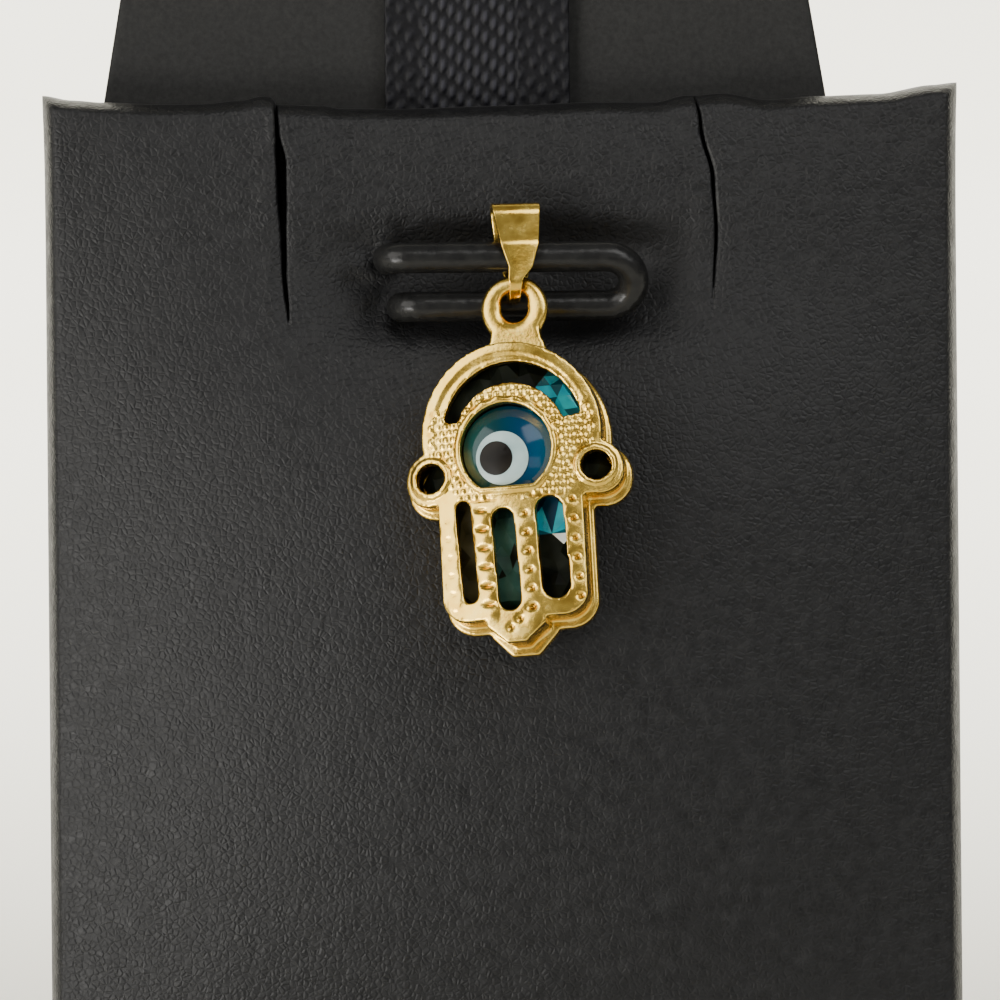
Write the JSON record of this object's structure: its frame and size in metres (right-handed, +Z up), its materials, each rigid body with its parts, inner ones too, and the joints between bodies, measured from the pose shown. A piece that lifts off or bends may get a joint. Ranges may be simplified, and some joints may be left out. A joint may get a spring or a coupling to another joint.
{
  "type": "hamsa pendant on display pad",
  "caption": "Gold hamsa pendant with a blue glass eye in pierced openwork, hanging by its bail from the cord loop of a leaning leatherette display pad with a back board and ribbon.",
  "frame": {"origin": "on the foot's underside, below the pad's centre line and midway along the foot's depth", "axes": "+Z up, +X to the right seen from the front, the pad's front and the hand face -Y"},
  "size_m": [0.0584, 0.044, 0.0804],
  "materials": {
    "board": "matte",
    "leatherette": "fine grain, satin",
    "ribbon": "coarse glossy weave",
    "cord": "glossy",
    "gold": "polished pale gold, cast relief",
    "teal_glass": "faceted, polished",
    "blue_glass": "polished",
    "white_glass": "glossy",
    "pupil_glass": "glossy"
  },
  "bodies": {
    "stand": {"back_board": "board", "pad": "leatherette", "ribbon": "ribbon", "hanging_loop": "cord", "bail": "gold"},
    "pendant": {"casing": "gold", "glass_core": "teal_glass", "eye_glass": "blue_glass", "eye_white": "white_glass", "eye_pupil": "pupil_glass"}
  },
  "joints": [
    {"name": "hand_swing", "type": "hinge", "parent": "stand", "child": "pendant", "pos_m": [0.00075, -0.005, 0.06178], "axis": [-0.9818, 0.1477, -0.1196], "range_deg": [0, 70]}
  ]
}
